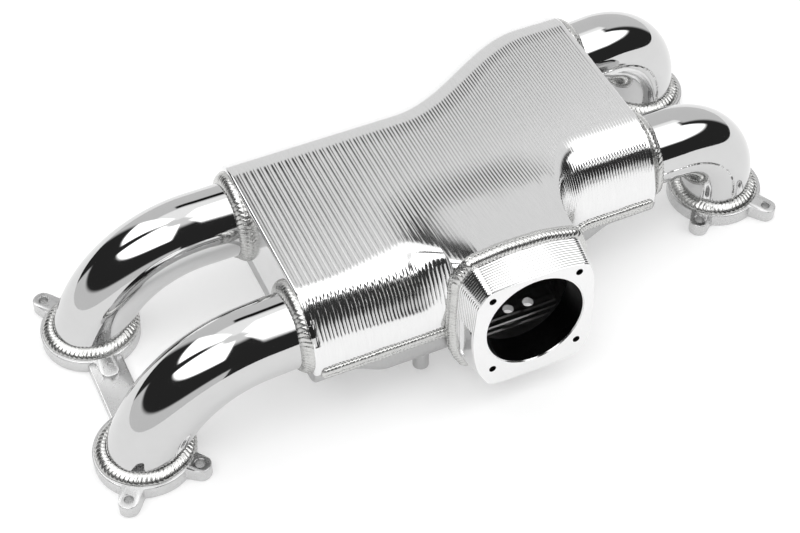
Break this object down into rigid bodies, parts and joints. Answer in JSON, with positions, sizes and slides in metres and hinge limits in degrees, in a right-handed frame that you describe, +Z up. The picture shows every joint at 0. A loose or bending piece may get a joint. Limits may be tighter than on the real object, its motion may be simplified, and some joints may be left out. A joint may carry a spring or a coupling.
{
  "type": "intake manifold",
  "caption": "Welded aluminium intake manifold for a flat engine: ribbed plenum, square throttle flange, polished runner tubes and flat head flanges.",
  "frame": {"origin": "the middle of the bounding box's underside, on the plane of the head flanges' gasket faces", "axes": "+X from the left bank to the right bank, +Y away from the throttle flange, +Z up from the cylinder heads"},
  "size_m": [0.5232, 0.2655, 0.1078],
  "materials": {
    "plenum_shell": "machined with fine ridges, bare",
    "throttle_flange": "machined, bare",
    "head_flange": "satin, bare",
    "polished_tube": "mirror polished",
    "weld_bead": "rippled weld bead, bare"
  },
  "bodies": {
    "root": {"plenum_upper_shell": "plenum_shell", "plenum_lower_shell": "plenum_shell", "throttle_flange": "throttle_flange", "throttle_weld": "weld_bead", "runner_tube_front_left": "polished_tube", "runner_tube_back_left": "polished_tube", "runner_tube_front_right": "polished_tube", "runner_tube_back_right": "polished_tube", "head_flange_left": "head_flange", "head_flange_right": "head_flange", "plenum_weld_front_left": "weld_bead", "plenum_weld_back_left": "weld_bead", "plenum_weld_front_right": "weld_bead", "plenum_weld_back_right": "weld_bead", "flange_weld_front_left": "weld_bead", "flange_weld_back_left": "weld_bead", "flange_weld_front_right": "weld_bead", "flange_weld_back_right": "weld_bead", "seam_weld_front_left": "weld_bead", "seam_weld_front_right": "weld_bead", "seam_weld_back": "weld_bead"}
  },
  "joints": []
}
